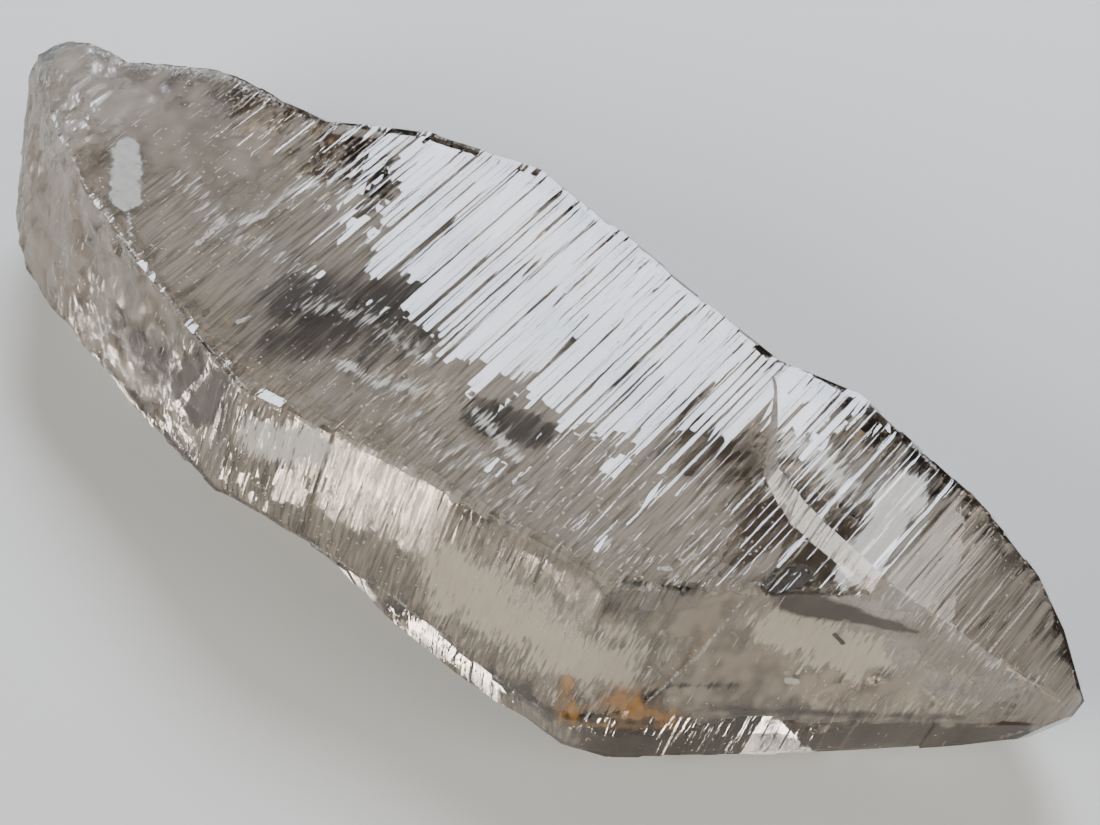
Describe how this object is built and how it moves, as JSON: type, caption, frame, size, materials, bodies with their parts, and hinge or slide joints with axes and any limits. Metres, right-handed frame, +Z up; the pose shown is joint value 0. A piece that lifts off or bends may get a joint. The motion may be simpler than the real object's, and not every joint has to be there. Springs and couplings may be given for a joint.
{
  "type": "lemurian quartz crystal",
  "caption": "Long tabular smoky quartz crystal with ladder ledges across its prism faces, a slanted faceted tip and a rough rounded root.",
  "frame": {"origin": "bottom centre of the bounding box, on the prism face that the crystal lies on", "axes": "+X along the crystal's c-axis towards its tip, +Z up out of the broad top prism face, +Y across that face along its striations"},
  "size_m": [0.212, 0.082, 0.05],
  "materials": {
    "quartz": "gloss"
  },
  "bodies": {
    "root": {"quartz_crystal": "quartz"}
  },
  "joints": []
}
